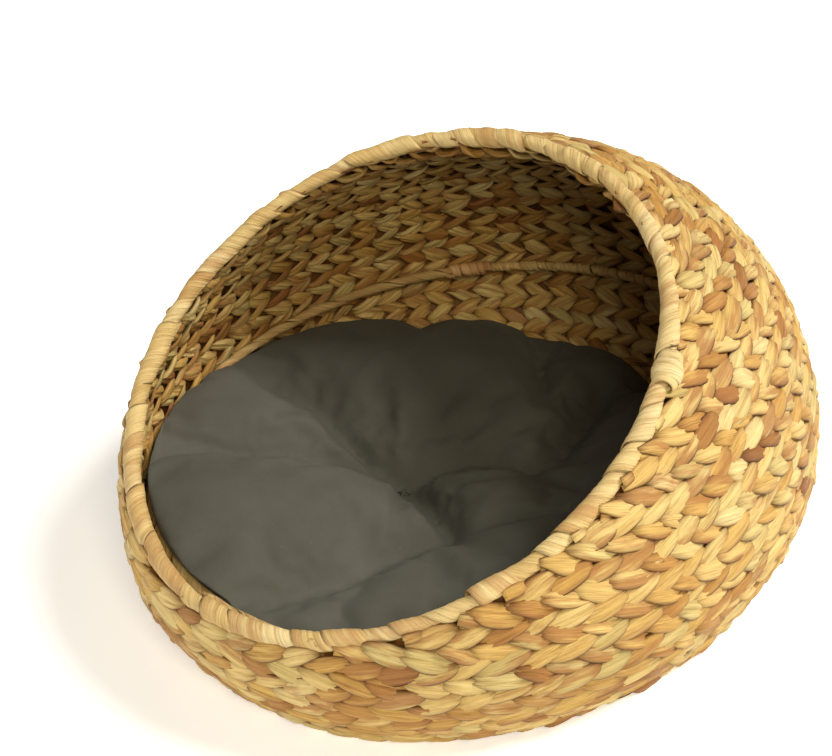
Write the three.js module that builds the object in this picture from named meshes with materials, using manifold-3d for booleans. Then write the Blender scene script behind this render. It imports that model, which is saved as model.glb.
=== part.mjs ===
// Domed wicker pet bed: a bowl and hood twined from plant fibre over a wire frame,
// with a wrapped slanting mouth and a loose tufted cushion.
// Millimetres, +Z up, the mouth facing -Y, origin on the floor under the middle.
import * as THREE from "three";
import { mergeVertices } from "three/addons/utils/BufferGeometryUtils.js";
import Module from "manifold-3d";

const wasm = await Module();
wasm.setup();

// Shape of the basket
const CORE_HALF_WIDTH = 240; // half width across X of the line that the rim hoop follows
const DEPTH_RATIO = 1.12; // every horizontal outline is an ellipse this much longer along Y
const BULGE_HEIGHT = 63; // height of the widest level
const DOME_RISE = 225.4; // from the widest level to the top of the full dome
const FOOT_DROP = 178.3; // from the widest level down to where the lower curve would close
const DOME_POWER = 2.12; // roundness of the curve above the widest level
const FOOT_POWER = 1.72; // roundness of the curve below it
const OUTER_STAND = 10.8; // the outer face stands this far out of the core line
const WALL_THICKNESS = 20;
const MOUTH_TILT = THREE.MathUtils.degToRad(26.6); // of the mouth plane, down to the front
const MOUTH_DISTANCE = 202; // from the origin to the mouth plane
const WAIST_HEIGHT = 82; // where the full rounds stop and the hood starts
const TOP_OF_PROFILE = 284; // the mouth cuts the hood off below this level
const GAP = 0.3; // between pieces that touch
const BEAD_CLEAR = 1; // between the ends of a bead and the sleeve beside it

// Frame and trim
const BASE_RADIUS = 205; // half width of the woven base
const BASE_THICKNESS = 14;
const BASE_HOOP = { radius: 208.5, height: 8, wire: 3 };
const CROSS_WIRE = { radius: 1.75, offset: 70, lowHeight: 4.6, highHeight: 9.6, endClear: 1.2 };
const RIB = { count: 16, radius: 1.75, channel: 2.5, startRadius: 214, pitch: 34 };
const RIM = { wire: 3, sleeveBore: 3.6, sleeve: 8.5, knotAngle: -7.5, knotLength: 26, knot: 12,
  knotBore: 4.6 };
const WAIST = { wire: 1.5, sleeveBore: 1.9, sleeve: 3.2, bindingAngle: 130, bindingLength: 26,
  binding: 4.6, bindingBore: 2.7, wallClear: 5.2 };

// Cushion
const CUSHION = { halfWidth: 180, halfDepth: 219, centreY: 4, seamHeight: 44, crown: 41, belly: 29.2,
  cloth: 1.5, dimpleDepth: 30, dimpleRadius: 40, heelDepth: 6, heelRadius: 26 };
const TUFT = { hole: 2.2, thread: 1.6, head: 4.5, headThickness: 1.4, headClear: 1.9 };

const SEGMENTS = 40; // round the basket
const CUSHION_SEGMENTS = 24;

const mouthNormal = new THREE.Vector3(0, -Math.sin(MOUTH_TILT), Math.cos(MOUTH_TILT));
const up = new THREE.Vector3(0, 0, 1);

// Radius across X of the core line at a height.
function coreRadius(z) {
  const above = z > BULGE_HEIGHT;
  const share = Math.abs(z - BULGE_HEIGHT) / (above ? DOME_RISE : FOOT_DROP);
  const power = above ? DOME_POWER : FOOT_POWER;
  return CORE_HALF_WIDTH * (1 - Math.min(share, 1) ** power) ** (1 / power);
}

// The point of the wall's half section that lies depth below the outer face at height z.
function wallPoint(z, depth) {
  const step = 0.5;
  const slope = (coreRadius(z + step) - coreRadius(z - step)) / (2 * step);
  const length = Math.hypot(slope, 1);
  return [coreRadius(z) + OUTER_STAND - depth / length, z + (depth * slope) / length];
}

// A point of the half section turned to a compass angle, on the elliptical plan.
function place([radius, z], angle) {
  return new THREE.Vector3(radius * Math.cos(angle), DEPTH_RATIO * radius * Math.sin(angle), z);
}

function heightsBetween(low, high, count) {
  return Array.from({ length: count + 1 }, (_, i) => low + ((high - low) * i) / count);
}

// A closed half section turned round the Z axis and stretched to the elliptical plan.
function revolved(section, segments = SEGMENTS, ratio = DEPTH_RATIO) {
  const points = section.map(([radius, z]) => new THREE.Vector2(radius, z));
  const geometry = new THREE.LatheGeometry(points, segments);
  return geometry.rotateX(Math.PI / 2).scale(1, ratio, 1);
}

// A round section swept along a path that lies in one plane. A bore makes it an open-ended sleeve.
function sweptTube(points, planeNormal, radius, { bore = 0, closed = false, sides = 8 } = {}) {
  const count = points.length;
  const positions = [];
  const faces = [];
  const layers = bore ? [radius, bore] : [radius];
  for (const layer of layers) {
    points.forEach((point, i) => {
      const before = points[closed ? (i + count - 1) % count : Math.max(i - 1, 0)];
      const after = points[closed ? (i + 1) % count : Math.min(i + 1, count - 1)];
      const tangent = after.clone().sub(before).normalize();
      const side = new THREE.Vector3().crossVectors(planeNormal, tangent);
      for (let k = 0; k < sides; k++) {
        const turn = (2 * Math.PI * k) / sides;
        const at = point.clone().addScaledVector(side, layer * Math.cos(turn));
        positions.push(...at.addScaledVector(planeNormal, layer * Math.sin(turn)));
      }
    });
  }
  const vertex = (layer, i, k) => (layer * count + (i % count)) * sides + (k % sides);
  const quad = (a, b, c, d, flip) => faces.push(...(flip ? [a, d, c, a, c, b] : [a, b, c, a, c, d]));
  const spans = closed ? count : count - 1;
  layers.forEach((_, layer) => {
    for (let i = 0; i < spans; i++)
      for (let k = 0; k < sides; k++)
        quad(vertex(layer, i, k), vertex(layer, i, k + 1), vertex(layer, i + 1, k + 1),
          vertex(layer, i + 1, k), layer === 1);
  });
  for (const end of closed ? [] : [0, count - 1]) {
    const flip = end !== 0;
    for (let k = 0; k < sides; k++) {
      if (bore)
        quad(vertex(0, end, k), vertex(1, end, k), vertex(1, end, k + 1), vertex(0, end, k + 1), flip);
      else if (k > 0 && k < sides - 1) {
        const fan = [vertex(0, end, 0), vertex(0, end, k + 1), vertex(0, end, k)];
        faces.push(...(flip ? fan.reverse() : fan));
      }
    }
  }
  const geometry = new THREE.BufferGeometry();
  geometry.setAttribute("position", new THREE.Float32BufferAttribute(positions, 3));
  return geometry.setIndex(faces);
}

function solid(geometry) {
  const bare = geometry.index ? geometry.toNonIndexed() : geometry.clone();
  bare.deleteAttribute("normal");
  bare.deleteAttribute("uv");
  const merged = mergeVertices(bare, 1e-3);
  const triVerts = new Uint32Array(merged.index.array);
  const vertProperties = merged.attributes.position.array;
  return new wasm.Manifold(new wasm.Mesh({ numProp: 3, vertProperties, triVerts }));
}

// The geometry with each of the cutters taken out of it.
function cut(geometry, cutters) {
  const left = cutters.reduce((rest, cutter) => rest.subtract(solid(cutter)), solid(geometry));
  const mesh = left.getMesh();
  const made = new THREE.BufferGeometry();
  made.setAttribute("position", new THREE.BufferAttribute(new Float32Array(mesh.vertProperties), 3));
  return made.setIndex(new THREE.BufferAttribute(new Uint32Array(mesh.triVerts), 1));
}

const finish = {
  fibre: new THREE.MeshStandardMaterial({ color: 0xcda968, roughness: 0.75, metalness: 0 }),
  wrapping: new THREE.MeshStandardMaterial({ color: 0xdcc08a, roughness: 0.7, metalness: 0 }),
  wire: new THREE.MeshStandardMaterial({ color: 0x4a4642, roughness: 0.5, metalness: 0.9 }),
  cloth: new THREE.MeshStandardMaterial({ color: 0x3b3a33, roughness: 0.95, metalness: 0 }),
  wadding: new THREE.MeshStandardMaterial({ color: 0xe8e6e0, roughness: 1, metalness: 0 }),
};
const basket = new THREE.Group();

function add(name, geometry, material) {
  const mesh = new THREE.Mesh(geometry, material.clone());
  mesh.name = name;
  basket.add(mesh);
}

// Everything past the mouth plane, less what the rim needs.
function mouthBlock() {
  const size = 900;
  const clear = MOUTH_DISTANCE - RIM.sleeve - GAP;
  const block = new THREE.BoxGeometry(size, size, size);
  return block.translate(0, 0, size / 2 + clear).rotateX(MOUTH_TILT);
}

// Height of the outer face where the layer at this depth meets a plane beside the mouth.
function mouthHeight(angle, depth, distance) {
  let low = BASE_THICKNESS;
  let high = TOP_OF_PROFILE;
  for (let i = 0; i < 30; i++) {
    const middle = (low + high) / 2;
    const beyond = place(wallPoint(middle, depth), angle).dot(mouthNormal) > distance;
    if (beyond) high = middle;
    else low = middle;
  }
  return (low + high) / 2;
}

// The rim hoop's line, in equal steps from a start angle.
function rimLine(count, startAngle = 0) {
  const knots = Array.from({ length: 72 }, (_, i) => {
    const angle = startAngle + (2 * Math.PI * i) / 72;
    let low = BASE_THICKNESS;
    let high = BULGE_HEIGHT + DOME_RISE;
    for (let k = 0; k < 30; k++) {
      const middle = (low + high) / 2;
      const beyond = place([coreRadius(middle), middle], angle).dot(mouthNormal) > MOUTH_DISTANCE;
      if (beyond) high = middle;
      else low = middle;
    }
    return place([coreRadius(low), low], angle);
  });
  return new THREE.CatmullRomCurve3(knots, true).getSpacedPoints(count);
}

function ellipseLine(radius, height, count, startAngle = 0) {
  const knots = Array.from({ length: 72 }, (_, i) =>
    place([radius, height], startAngle + (2 * Math.PI * i) / 72));
  return new THREE.CatmullRomCurve3(knots, true).getSpacedPoints(count);
}

// The part of a closed line that is left when a piece of this length sits astride its start.
function lineBesides(line, length) {
  const clear = length / 2 + BEAD_CLEAR;
  const trimmed = (from, to) => from.clone().add(to.clone().sub(from).setLength(clear));
  const [start, ...rest] = line.slice(0, -1);
  return [trimmed(start, rest[0]), ...rest, trimmed(start, rest.at(-1))];
}

// A barrel-shaped bead with a bore, lying along a line at its start.
function bead(line, length, radius, endRadius, bore) {
  const section = [
    [bore, -length / 2],
    [endRadius, -length / 2],
    [radius, -length / 6],
    [radius, length / 6],
    [endRadius, length / 2],
    [bore, length / 2],
    [bore, -length / 2],
  ];
  const along = line[1].clone().sub(line[line.length - 2]).normalize();
  const turn = new THREE.Quaternion().setFromUnitVectors(up, along);
  return revolved(section, 12, 1).applyQuaternion(turn).translate(line[0].x, line[0].y, line[0].z);
}

// Wire ribs, evenly spaced by compass angle, from the base hoop up to the rim.
const ribLines = Array.from({ length: RIB.count }, (_, i) => {
  const angle = ((i + 0.5) * 2 * Math.PI) / RIB.count;
  const depth = WALL_THICKNESS / 2;
  const start = BASE_THICKNESS;
  const end = mouthHeight(angle, depth, MOUTH_DISTANCE - RIM.sleeve - 1.2);
  const steps = Math.max(3, Math.round((end - start) / RIB.pitch));
  const middle = heightsBetween(start, end, steps).map((z) => place(wallPoint(z, depth), angle));
  const foot = place([RIB.startRadius, BASE_HOOP.height], angle);
  const across = new THREE.Vector3(-DEPTH_RATIO * Math.sin(angle), Math.cos(angle), 0).normalize();
  return { points: [foot, ...middle], across };
});

// The same lines run on past both ends, as the channels that the ribs lie in.
const ribChannels = ribLines.map(({ points, across }) => {
  const beyond = (from, to, by) => to.clone().add(to.clone().sub(from).setLength(by));
  const first = beyond(points[1], points[0], 12);
  const last = beyond(points.at(-2), points.at(-1), 16);
  return sweptTube([first, ...points, last], across, RIB.channel, { sides: 6 });
});

function addWeave() {
  const below = heightsBetween(BASE_THICKNESS, WAIST_HEIGHT - GAP, 4);
  const bowlSection = [
    [BASE_HOOP.radius + BASE_HOOP.wire + 1.5, 1.2],
    [coreRadius(1.2) + OUTER_STAND - 5, 0.6],
    wallPoint(4, 0),
    ...below.map((z) => wallPoint(z, 0)),
    [wallPoint(WAIST_HEIGHT, WALL_THICKNESS)[0], WAIST_HEIGHT - GAP],
    ...below.slice(0, -1).reverse().map((z) => wallPoint(z - 6, WALL_THICKNESS)),
  ];
  bowlSection.push([BASE_HOOP.radius + BASE_HOOP.wire + 1.5, wallPoint(2, WALL_THICKNESS)[1]]);
  bowlSection.push(bowlSection[0]);
  add("bowl_weave", cut(revolved(bowlSection), [mouthBlock(), ...ribChannels]), finish.fibre);

  const above = [...heightsBetween(WAIST_HEIGHT, 200, 5), 222, 241, 257, 270, 279, TOP_OF_PROFILE];
  const hoodSection = [
    ...above.map((z) => wallPoint(z, 0)),
    ...above.slice(1).reverse().map((z) => wallPoint(z, WALL_THICKNESS)),
    [wallPoint(WAIST_HEIGHT, WALL_THICKNESS)[0], WAIST_HEIGHT],
    wallPoint(WAIST_HEIGHT, 0),
  ];
  const knotRoom = new THREE.SphereGeometry(RIM.knotLength / 2 + 2.5, 14, 10);
  const knotAt = rimLine(8, THREE.MathUtils.degToRad(RIM.knotAngle))[0];
  knotRoom.translate(knotAt.x, knotAt.y, knotAt.z);
  add("hood_weave", cut(revolved(hoodSection), [mouthBlock(), knotRoom, ...ribChannels]), finish.fibre);
}

function addBase() {
  const edge = 2;
  const section = [
    [0, 0],
    [BASE_RADIUS - edge, 0],
    [BASE_RADIUS, edge],
    [BASE_RADIUS, BASE_THICKNESS - edge],
    [BASE_RADIUS - edge, BASE_THICKNESS],
    [0, BASE_THICKNESS],
  ];
  const wires = [];
  for (const offset of [-CROSS_WIRE.offset, CROSS_WIRE.offset]) {
    const reachX = BASE_RADIUS * Math.sqrt(1 - (offset / (DEPTH_RATIO * BASE_RADIUS)) ** 2);
    const reachY = DEPTH_RATIO * BASE_RADIUS * Math.sqrt(1 - (offset / BASE_RADIUS) ** 2);
    wires.push({ along: new THREE.Vector3(1, 0, 0), reach: reachX, middle: [0, offset, CROSS_WIRE.lowHeight] });
    wires.push({ along: new THREE.Vector3(0, 1, 0), reach: reachY, middle: [offset, 0, CROSS_WIRE.highHeight] });
  }
  const wireTube = ({ along, reach, middle }, radius, extra) => {
    const centre = new THREE.Vector3(...middle);
    const ends = [-1, 1].map((sign) => centre.clone().addScaledVector(along, sign * (reach + extra)));
    return sweptTube(ends, up, radius, { sides: 8 });
  };
  const channels = wires.map((wire) => wireTube(wire, CROSS_WIRE.radius + 0.45, 10));
  add("base_weave", cut(revolved(section), channels), finish.fibre);
  wires.forEach((wire, i) =>
    add("base_cross_wire_" + (i + 1), wireTube(wire, CROSS_WIRE.radius, -CROSS_WIRE.endClear), finish.wire));
  const hoop = ellipseLine(BASE_HOOP.radius, BASE_HOOP.height, SEGMENTS).slice(0, -1);
  add("base_hoop", sweptTube(hoop, up, BASE_HOOP.wire, { closed: true, sides: 6 }), finish.wire);
}

function addRim() {
  const line = rimLine(SEGMENTS + 4, THREE.MathUtils.degToRad(RIM.knotAngle));
  add("rim_hoop", sweptTube(line.slice(0, -1), mouthNormal, RIM.wire, { closed: true, sides: 6 }), finish.wire);
  const covered = lineBesides(line, RIM.knotLength);
  add("rim_wrapping", sweptTube(covered, mouthNormal, RIM.sleeve, { bore: RIM.sleeveBore }), finish.wrapping);
  add("rim_knot", bead(line, RIM.knotLength, RIM.knot, RIM.sleeve, RIM.knotBore), finish.wrapping);
}

function addWaist() {
  const radius = wallPoint(WAIST_HEIGHT, WALL_THICKNESS)[0] - WAIST.wallClear;
  const start = THREE.MathUtils.degToRad(WAIST.bindingAngle);
  const line = ellipseLine(radius, WAIST_HEIGHT, SEGMENTS, start);
  add("waist_hoop", sweptTube(line.slice(0, -1), up, WAIST.wire, { closed: true, sides: 6 }), finish.wire);
  const covered = lineBesides(line, WAIST.bindingLength);
  add("waist_wrapping", sweptTube(covered, up, WAIST.sleeve, { bore: WAIST.sleeveBore, sides: 6 }), finish.wrapping);
  add("waist_binding", bead(line, WAIST.bindingLength, WAIST.binding, WAIST.sleeve, WAIST.bindingBore), finish.wrapping);
}

function addRibs() {
  ribLines.forEach(({ points, across }, i) => {
    const name = "rib_" + String(i + 1).padStart(2, "0");
    add(name, sweptTube(points, across, RIB.radius, { sides: 6 }), finish.wire);
  });
}

// Height of a cushion layer that lies inset below the outer cloth, at a share of the way out.
function topHeight(share, inset) {
  const { seamHeight, crown, dimpleDepth, dimpleRadius, halfDepth } = CUSHION;
  const dimple = dimpleDepth * Math.exp(-(((share * halfDepth) / dimpleRadius) ** 2));
  return seamHeight + (crown - inset) * Math.sqrt(1 - share ** 2.8) - dimple * (1 - share);
}
function bottomHeight(share, inset) {
  const { seamHeight, belly, heelDepth, heelRadius, halfDepth } = CUSHION;
  const heel = heelDepth * Math.exp(-(((share * halfDepth) / heelRadius) ** 2));
  return seamHeight - (belly - inset) * Math.sqrt(1 - share ** 6) + heel * (1 - share);
}

// One face of the cushion as half section points, from the hole out to the seam.
function cushionFace(height, inset, hole) {
  const reach = CUSHION.halfDepth - inset;
  const shares = [hole / reach, 0.1, 0.2, 0.34, 0.55, 0.75, 0.89, 0.97, 1];
  return shares.map((share) => [share * reach, height(share, inset)]);
}

function addCushion() {
  const { halfWidth, halfDepth, centreY, seamHeight, cloth } = CUSHION;
  const half = GAP / 2;
  const laid = (section) => {
    const closed = [...section, section[0]];
    return revolved(closed, CUSHION_SEGMENTS, 1).scale(halfWidth / halfDepth, 1, 1).translate(0, centreY, 0);
  };
  const seam = (face, z) => [...face.slice(0, -1), [face.at(-1)[0], z]];
  const topOuter = seam(cushionFace(topHeight, 0, TUFT.hole), seamHeight + half);
  const topInner = seam(cushionFace(topHeight, cloth, TUFT.hole), seamHeight + half);
  const bottomOuter = seam(cushionFace(bottomHeight, 0, TUFT.hole), seamHeight - half);
  const bottomInner = seam(cushionFace(bottomHeight, cloth, TUFT.hole), seamHeight - half);
  add("cushion_cover_top", laid([...topInner, ...topOuter.reverse()]), finish.cloth);
  add("cushion_cover_bottom", laid([...bottomOuter, ...bottomInner.reverse()]), finish.cloth);
  const fillTop = cushionFace(topHeight, cloth + GAP, TUFT.hole);
  const fillBottom = cushionFace(bottomHeight, cloth + GAP, TUFT.hole);
  add("cushion_filling", laid([...fillBottom, ...fillTop.slice(0, -1).reverse()]), finish.wadding);

  const top = topHeight(0, 0) + TUFT.headClear;
  const bottom = bottomHeight(0, 0) - TUFT.headClear;
  const section = [
    [0, bottom - TUFT.headThickness],
    [TUFT.head, bottom - TUFT.headThickness],
    [TUFT.head, bottom],
    [TUFT.thread, bottom],
    [TUFT.thread, top],
    [TUFT.head, top],
    [TUFT.head, top + TUFT.headThickness],
    [0, top + TUFT.headThickness],
  ];
  add("tuft_thread", revolved(section, 12, 1).translate(0, centreY, 0), finish.cloth);
}

addBase();
addWeave();
addWaist();
addRim();
addRibs();
addCushion();

export default basket;
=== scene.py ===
import math
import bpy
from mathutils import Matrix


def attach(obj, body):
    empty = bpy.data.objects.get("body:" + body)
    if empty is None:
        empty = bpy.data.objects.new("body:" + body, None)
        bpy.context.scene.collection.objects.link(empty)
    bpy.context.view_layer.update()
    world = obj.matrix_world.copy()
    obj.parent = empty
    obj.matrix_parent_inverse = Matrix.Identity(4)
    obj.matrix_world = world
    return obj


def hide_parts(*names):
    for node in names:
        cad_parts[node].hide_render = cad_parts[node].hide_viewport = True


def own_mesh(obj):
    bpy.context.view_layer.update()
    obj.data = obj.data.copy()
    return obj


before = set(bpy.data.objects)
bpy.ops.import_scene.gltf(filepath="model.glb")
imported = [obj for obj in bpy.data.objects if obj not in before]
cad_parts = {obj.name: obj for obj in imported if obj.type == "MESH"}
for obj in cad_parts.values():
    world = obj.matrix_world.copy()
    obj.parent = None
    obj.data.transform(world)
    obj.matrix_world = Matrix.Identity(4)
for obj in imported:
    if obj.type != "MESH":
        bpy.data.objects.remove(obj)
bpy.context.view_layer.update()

from types import SimpleNamespace

import bpy
import numpy as np
from mathutils import Matrix, Vector

MM = 0.001

# Shape of the basket, in millimetres, as in the CAD model
CORE_HALF_WIDTH = 240.0
DEPTH_RATIO = 1.12
BULGE_HEIGHT = 63.0
DOME_RISE, DOME_POWER = 225.4, 2.12
FOOT_DROP, FOOT_POWER = 178.3, 1.72
OUTER_STAND = 10.8
WALL_THICKNESS = 20.0
MOUTH_TILT = math.radians(26.6)
MOUTH_DISTANCE = 202.0
MOUTH_NORMAL = np.array([0.0, -math.sin(MOUTH_TILT), math.cos(MOUTH_TILT)])
UPWARD = np.array([0.0, 0.0, 1.0])
WAIST_HEIGHT = 82.0
WAIST_INSET = 5.0  # from the wall's inner face to the middle of the waist hoop
RIM_RADIUS = 8.0
KNOT_ANGLE = math.radians(-7.5)
BINDING_ANGLE = math.radians(130)

# The weave, in millimetres
ROW_PITCH = 11.5
FIRST_ROW_HEIGHT = 8.0
SHORTEST_ROW = 130.0
WEAVE_EDGE = MOUTH_DISTANCE - 4.0  # how far along the mouth's normal the weave reaches
STITCH_COUNTS = (72, 57, 45, 36, 27, 21, 15, 12, 9)  # all in threes, so that rows keep in line
SHORTEST_STITCH = 18.5
FEWEST_STITCHES = 6
WALL_TWINE = {
    "swing": 5.2,  # how far a strand passes in front of and behind the stakes
    "climb": 4.8,  # how far it rises and falls across the row
    "half_width": 7.8,  # midway along its run in front
    "back_width": 7.4,  # behind a stake
    "tuck_width": 3.2,  # where it passes between two stakes
    "crown": 2.3,  # how far its seen face bulges
    "flat": 0.9,  # how far its hidden face bulges
    "tilt": 0.20,  # how far it leans so that it laps over the row below, in radians
    "lap": 2.0,  # how far it comes out at the end that laps over the next strand
    "steps": 8,
}
BASE_TWINE = dict(WALL_TWINE, swing=2.6, climb=3.6, crown=1.4, lap=0.8, steps=5)
LEAF_SPREAD = {  # how far leaves differ either way. Climb, width and bulge are shares
    "climb": 0.32, "height": 1.8, "swing": 0.6, "tilt": 0.2,
    "point": 0.35, "width": 0.2, "bulge": 0.3, "crease": 0.9,
}
STRANDS = 3  # each passes in front of two stakes and behind the third
MID_RUN = 1.5  # middle of a strand's run in front, in stitches from the stake it passes behind
TUCK_AT = 0.9  # where it passes through the wall, in stitches from there
PASSING = 0.35  # half the length of that passage, in stitches
TUCK_POWER = math.log(0.5) / math.log(TUCK_AT / MID_RUN)
STAKE_LAG, ROW_LAG = 0.14, 0.05  # how unevenly the stakes and each row's stitches lie, in stitches
STAKE_SEED = 700
STAKE_COVER = 0.74  # half the width of a stake, as a share of a stitch
STAKE_HALF_THICKNESS = 1.0
SWAY_WAVES = ((3, 0.9, 0.4, 0.11), (5, 0.8, 2.1, -0.17), (8, 0.7, 5.0, 0.23), (13, 0.5, 1.3, -0.31))
FLAT_END = 18.0  # length over which a strand flattens towards its end at the mouth
END_STAND = (2.5, 5.5)  # how far such an end stands out over the rim, from least to most
FOLDED_SHARE = 0.35  # share of the leaves that are folded along their middle
CREASE_AT = 0.1  # where that fold lies, as a share of half the width
THINNEST = 0.25  # least bulge of a strand's face
RIDGE_DEPTH, TUCKED_RIDGES = 0.38, 0.1  # depth of a strand's wrinkles, and how much deeper in a tuck
RIDGES = ((5.2, 1.0), (3.4, 0.8), (2.5, 0.5))  # distance between wrinkles, and their share of the depth
RIDGE_DRIFT = 24.0  # length in which the wrinkles drift across a strand
ROWS_PER_PIECE = 2
FIRST_ROUND_RADIUS, LAST_ROUND_RADIUS = 9.0, 217.0  # across X, of the rounds of the base
BASE_HEIGHT = 7.5
BASE_LEAF_SPACING = 66.0  # from one leaf of a strand to its next, on the base
ROUNDS_PER_PIECE = 5
GROUND, GROUND_GIVE = 0.3, 0.02  # height that fibre is pressed to under the basket, and its give
LINE_POINTS = 720  # round the rim and round the waist ring
STEPS_TO_TURN = 30  # in a strip wound round a line

# Wound strips: radius, length from turn to turn, width, unevenness and range of tones
RIM_STRIP = (RIM_RADIUS - 3.2, 24, 33, 1.3, (0.2, 1.0))
LONG_STRIP = (2.6, 46, 62, 0.5, (0.1, 0.6))
CLOSE_STRIP = (2.5, 8, 10.5, 0.4, (0, 0.6))
BINDING_STRIP = (4.2, 6.5, 9, 0.5, (0, 1))
RIM_WAVES = ((7, 0.6, 0.3), (19, 0.6, 2.0), (31, 0.5, 4.4), (47, 0.35, 1.1))  # number, size and start
KNOT_WRAPS = ((-7, 7.6, -16), (7, 7.8, 14), (-1, 9.6, 5))  # place along the rim, radius, tilt in degrees
KNOT_STAND, KNOT_HALF_WIDTH = 3.0, 7.0  # how far the wraps stand out, and half the width of their strip
FRAYS = ((180, -14, 219, 9, 14), (72, -254, 98, 7, 8), (-33, -265, 93, 6, 7))  # place, length, how many
FRAY_RADIUS = 0.55
LONG_SHARE, CLOSE_SHARE = 0.56, 0.55  # where the waist's long turns end and its close turns begin
BINDING_GAP, BINDING_REACH = 8, 17  # from the middle of the binding to the strips, and to its own end


# ---- Shape of the wall

def core_radius(z):
    """Radius across X of the line midway through the wall, at a height."""
    z = np.asarray(z, float)
    above = z > BULGE_HEIGHT
    share = np.abs(z - BULGE_HEIGHT) / np.where(above, DOME_RISE, FOOT_DROP)
    power = np.where(above, DOME_POWER, FOOT_POWER)
    return CORE_HALF_WIDTH * (1 - np.minimum(share, 1) ** power) ** (1 / power)


def wall_section(depth):
    """Points of the wall's half section at a depth below its outer face, with their outward normals."""
    z = np.linspace(-6, BULGE_HEIGHT + DOME_RISE - 3, 1200)
    slope = core_radius(z + 0.5) - core_radius(z - 0.5)
    size = np.hypot(slope, 1)
    radius = core_radius(z) + OUTER_STAND - depth / size
    height = z + depth * slope / size
    length = np.concatenate([[0], np.cumsum(np.hypot(np.diff(radius), np.diff(height)))])
    return {"radius": radius, "height": height, "out": 1 / size, "up": -slope / size, "length": length}


ANGLES = np.linspace(-2 * math.pi, 4 * math.pi, 6001)
SPEED = np.hypot(np.sin(ANGLES), DEPTH_RATIO * np.cos(ANGLES))
TURNED = np.concatenate([[0], np.cumsum((SPEED[1:] + SPEED[:-1]) / 2 * np.diff(ANGLES))])
TURNED -= np.interp(0, ANGLES, TURNED)
FULL_TURN = np.interp(2 * math.pi, ANGLES, TURNED)


def share_of_angle(angle):
    return np.interp(angle, ANGLES, TURNED) / FULL_TURN


def angle_of_share(share):
    return np.interp(share, TURNED / FULL_TURN, ANGLES)


def circle(number):
    """Angles evenly spaced round a full turn."""
    return np.linspace(0, 2 * math.pi, number, endpoint=False)


def unit(vectors):
    return vectors / np.linalg.norm(vectors, axis=-1, keepdims=True)


def round_frame(level, share):
    """Points, outward normals and forward directions on one horizontal round, at shares of its length."""
    angle = angle_of_share(share)
    cos, sin, one = np.cos(angle), np.sin(angle), np.ones_like(angle)
    point = np.stack([
        level["radius"] * cos, DEPTH_RATIO * level["radius"] * sin, level["height"] * one], -1)
    normal = unit(np.stack([level["out"] * cos, level["out"] * sin / DEPTH_RATIO, level["up"] * one], -1))
    forward = unit(np.stack([-sin, DEPTH_RATIO * cos, 0 * one], -1))
    return point, normal, forward


def open_range(level):
    """The shares where a round starts and ends at the mouth, or None if it runs all the way round."""
    y = (math.cos(MOUTH_TILT) * level["height"] - WEAVE_EDGE) / math.sin(MOUTH_TILT)
    reach = y / (DEPTH_RATIO * level["radius"])
    if reach <= -1:
        return None
    start = math.asin(min(reach, 1))
    return share_of_angle(start), share_of_angle(math.pi - start)


# ---- Meshes of fibre

class Fibres:
    """Gathers closed strands, then makes one mesh of them. Lengths are in millimetres."""

    def __init__(self):
        self.points, self.faces, self.strand = [], [], []
        self.tone, self.tint, self.painted_shade = [], [], []
        self.count = 0

    def tube(self, rings, closed, tone, tint, along, across, rng, painted_shade=0.0, flip=False):
        """A tube through rings of points. along has one value for each ring and across one for each point
        of a ring. Its shade argument is painted shade: how far a point would be hidden from the light."""
        number, sides = rings.shape[:2]
        rings[..., 2] = np.maximum(rings[..., 2], GROUND + GROUND_GIVE * rings[..., 2])
        at = self.count + np.arange(number * sides).reshape(number, sides)
        near = at if closed else at[:-1]
        far = np.roll(at, -1, 0) if closed else at[1:]
        a, b = near, np.roll(near, -1, 1)
        d, c = far, np.roll(far, -1, 1)
        quads = np.stack([a, d, c, b] if flip else [a, b, c, d], -1).reshape(-1, 4)
        self.faces.extend(quads.tolist())
        if not closed:
            ends = [at[0][::-1], at[-1]] if not flip else [at[0], at[-1][::-1]]
            self.faces.extend(end.tolist() for end in ends)
        self.points.append(rings.reshape(-1, 3))
        strand = np.stack([
            np.repeat(along, sides), np.broadcast_to(across, (number, sides)).ravel(),
            np.full(number * sides, rng.random() * 100)], -1)
        self.strand.append(strand)
        self.tone.append(np.repeat(np.broadcast_to(tone, number), sides))
        self.tint.append(np.repeat(np.broadcast_to(tint, number), sides))
        self.painted_shade.append(np.broadcast_to(painted_shade, (number, sides)).ravel())
        self.count += number * sides

    def object(self, name, material):
        mesh = bpy.data.meshes.new(name)
        mesh.from_pydata((np.concatenate(self.points) * MM).tolist(), [], self.faces)
        store(mesh, "strand", np.concatenate(self.strand) * np.array([MM, MM, 1]))
        for label, values in (("tone", self.tone), ("tint", self.tint), ("painted_shade", self.painted_shade)):
            store(mesh, label, np.concatenate(values))
        mesh.shade_smooth()
        mesh.update()
        return new_object(name, mesh, material)


def fibre_piece(name, seed, material, lay):
    """One mesh of the strands that lay puts into it."""
    fibres = Fibres()
    lay(fibres, np.random.default_rng(seed))
    return fibres.object(name, material)


def store(mesh, name, values):
    """Stores a number or a vector for each point of a mesh."""
    kind, field = ("FLOAT_VECTOR", "vector") if values.ndim == 2 else ("FLOAT", "value")
    mesh.attributes.new(name, kind, "POINT").data.foreach_set(field, values.astype(np.float32).ravel())


def new_object(name, data, material=None):
    made = bpy.data.objects.new(name, data)
    bpy.context.scene.collection.objects.link(made)
    if material:
        data.materials.append(material)
    return made


def ease(values):
    values = np.clip(values, 0, 1)
    return values * values * (3 - 2 * values)


# Points round a strand's section, as shares of half its width: over its seen face, then back behind it
OUTER = np.linspace(1, -1, 13)
SECTION = np.concatenate([OUTER, np.linspace(-1, 1, 11)[1:-1]])
IS_OUTER = np.arange(len(SECTION)) < len(OUTER)


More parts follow.
